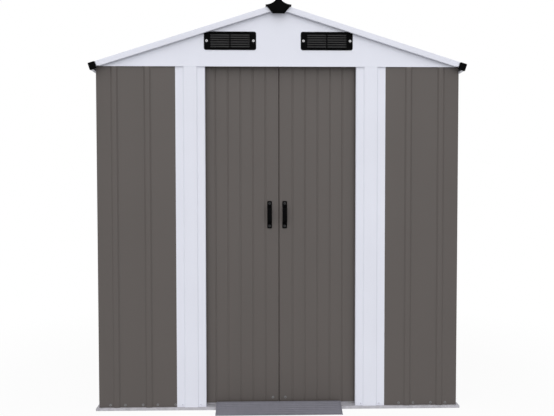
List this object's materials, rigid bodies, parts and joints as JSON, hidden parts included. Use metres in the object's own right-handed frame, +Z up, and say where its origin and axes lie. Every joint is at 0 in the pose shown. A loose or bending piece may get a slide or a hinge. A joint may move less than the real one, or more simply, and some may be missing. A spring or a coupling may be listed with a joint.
{
  "type": "metal storage shed",
  "caption": "Gable-front garden storage shed of ribbed sheet steel on a base frame, with sliding double doors, louvred gable vents and a low entry ramp.",
  "frame": {"origin": "on the ground, at the middle of the shed's outline with its ramp", "axes": "+Z up, -Y towards the doorway, +X to the right seen from the front"},
  "size_m": [1.8236, 1.3, 1.9974],
  "materials": {
    "taupe_sheet": "satin baked enamel",
    "white_trim": "satin white enamel",
    "zinc_frame": "galvanised, dull",
    "black_moulding": "moulded, slightly glossy",
    "ramp_plate": "grey galvanised sheet"
  },
  "bodies": {
    "shed": {"front_left_corner_panel": "taupe_sheet", "front_right_corner_panel": "taupe_sheet", "back_left_corner_panel": "taupe_sheet", "back_right_corner_panel": "taupe_sheet", "left_wall_panel": "taupe_sheet", "right_wall_panel": "taupe_sheet", "back_wall_panel": "taupe_sheet", "left_roof_panel": "taupe_sheet", "right_roof_panel": "taupe_sheet", "left_door_jamb": "white_trim", "right_door_jamb": "white_trim", "front_gable": "white_trim", "back_gable": "white_trim", "ridge_cap": "white_trim", "left_eave_trim": "white_trim", "right_eave_trim": "white_trim", "front_left_fascia": "white_trim", "front_right_fascia": "white_trim", "back_left_fascia": "white_trim", "back_right_fascia": "white_trim", "front_base_rail": "zinc_frame", "back_base_rail": "zinc_frame", "left_base_rail": "zinc_frame", "right_base_rail": "zinc_frame", "front_sill_angles": "zinc_frame", "door_track": "zinc_frame", "left_top_rail": "zinc_frame", "right_top_rail": "zinc_frame", "back_top_rail": "zinc_frame", "wall_braces": "zinc_frame", "ridge_beam": "zinc_frame", "roof_purlins": "zinc_frame", "front_vents": "black_moulding", "back_vents": "black_moulding", "ridge_end_caps": "black_moulding", "eave_end_caps": "black_moulding", "door_ramp": "ramp_plate"},
    "left_door": {"left_door_panel": "taupe_sheet", "left_door_handle": "black_moulding", "left_door_rails": "zinc_frame", "left_door_glides": "black_moulding"},
    "right_door": {"right_door_panel": "taupe_sheet", "right_door_handle": "black_moulding", "right_door_rails": "zinc_frame", "right_door_glides": "black_moulding"}
  },
  "joints": [
    {"name": "left_door_slide", "type": "slide", "parent": "shed", "child": "left_door", "axis": [-1, 0, 0], "range_m": [0, 0.296]},
    {"name": "right_door_slide", "type": "slide", "parent": "shed", "child": "right_door", "axis": [1, 0, 0], "range_m": [0, 0.33]}
  ]
}
